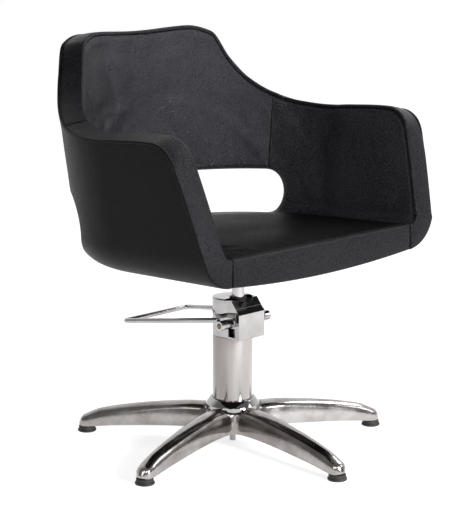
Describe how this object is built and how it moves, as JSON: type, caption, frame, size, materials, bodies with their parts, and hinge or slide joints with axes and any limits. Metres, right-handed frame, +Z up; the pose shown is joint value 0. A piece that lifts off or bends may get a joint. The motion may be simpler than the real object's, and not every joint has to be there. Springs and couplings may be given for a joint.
{
  "type": "styling chair",
  "caption": "Upholstered bucket chair with a wrap-round back and lumbar slot, on a hydraulic lift column with a foot pedal loop and a star base on glides.",
  "frame": {"origin": "on the floor under the pump column's axis", "axes": "+Z up; the sitter faces -Y; the sitter's right hand is on the -X side"},
  "size_m": [0.6738, 0.6264, 0.79],
  "materials": {
    "black_vinyl": "semi-matt grained faux leather",
    "black_vinyl_padded": "soft grained faux leather over foam, slightly glossier",
    "chrome": "bright chrome plate",
    "polished_aluminium": "polished casting",
    "plain_steel": "machined",
    "black_rubber": "matt",
    "nylon": "natural",
    "moulded_ply": "unfinished"
  },
  "bodies": {
    "base": {"star_base": "polished_aluminium", "hub_collar": "chrome", "base_bolt": "black_rubber", "glide_1": "black_rubber", "glide_2": "black_rubber", "glide_3": "black_rubber", "glide_4": "black_rubber", "glide_5": "black_rubber", "glide_stud_1": "plain_steel", "glide_stud_2": "plain_steel", "glide_stud_3": "plain_steel", "glide_stud_4": "plain_steel", "glide_stud_5": "plain_steel", "pump_tube": "chrome", "tube_foot": "plain_steel", "pressure_cylinder": "plain_steel", "cylinder_gland": "plain_steel", "pump_head": "chrome", "housing_cover": "chrome", "rod_wiper_seal": "black_rubber", "plunger_barrel": "plain_steel", "plunger_spring": "plain_steel", "lever_bush_left": "nylon", "lever_bush_right": "nylon"},
    "pedal": {"lever_shaft": "plain_steel", "lever_nut": "chrome", "lever_hub_right": "chrome", "lever_hub_left": "chrome", "clamp_screw": "plain_steel", "rocker_arm": "plain_steel", "pedal_loop": "chrome"},
    "plunger": {"plunger": "plain_steel"},
    "lift": {"piston_rod": "chrome", "piston": "plain_steel", "piston_seal": "black_rubber"},
    "seat": {"seat_socket": "chrome", "swivel_pad": "nylon", "mount_plate": "plain_steel", "mount_block": "moulded_ply", "mount_bolt_1": "plain_steel", "mount_bolt_2": "plain_steel", "mount_bolt_3": "plain_steel", "mount_bolt_4": "plain_steel", "seat_core": "moulded_ply", "arm_core_left": "moulded_ply", "arm_core_right": "moulded_ply", "back_core": "moulded_ply", "seat_pad": "black_vinyl_padded", "arm_pad_left": "black_vinyl_padded", "arm_pad_right": "black_vinyl_padded", "back_pad": "black_vinyl_padded", "outer_cover_left": "black_vinyl", "outer_cover_right": "black_vinyl", "outer_cover_back": "black_vinyl", "bottom_cover": "black_vinyl", "rim_band_front": "black_vinyl", "rim_band_left": "black_vinyl", "rim_band_right": "black_vinyl", "rim_band_back": "black_vinyl"}
  },
  "joints": [
    {"name": "seat_lift", "type": "slide", "parent": "base", "child": "lift", "axis": [0, 0, 1], "range_m": [0, 0.15]},
    {"name": "seat_swivel", "type": "hinge", "parent": "lift", "child": "seat", "pos_m": [0, -0.015, 0.348], "axis": [0, 0, 1], "continuous": true},
    {"name": "pedal_press", "type": "hinge", "parent": "base", "child": "pedal", "pos_m": [0, -0.033, 0.25], "axis": [-1, 0, 0], "range_deg": [0, 22], "stiffness_Nm_per_rad": 4, "springref_deg": -28.65},
    {"name": "plunger_stroke", "type": "slide", "parent": "base", "child": "plunger", "axis": [0, 0, -1], "range_m": [0, 0.0085], "deforming": ["plunger_spring"]}
  ],
  "couplings": [
    {"joint": "plunger_stroke", "follows": "pedal_press", "m_per_rad": 0.021}
  ]
}
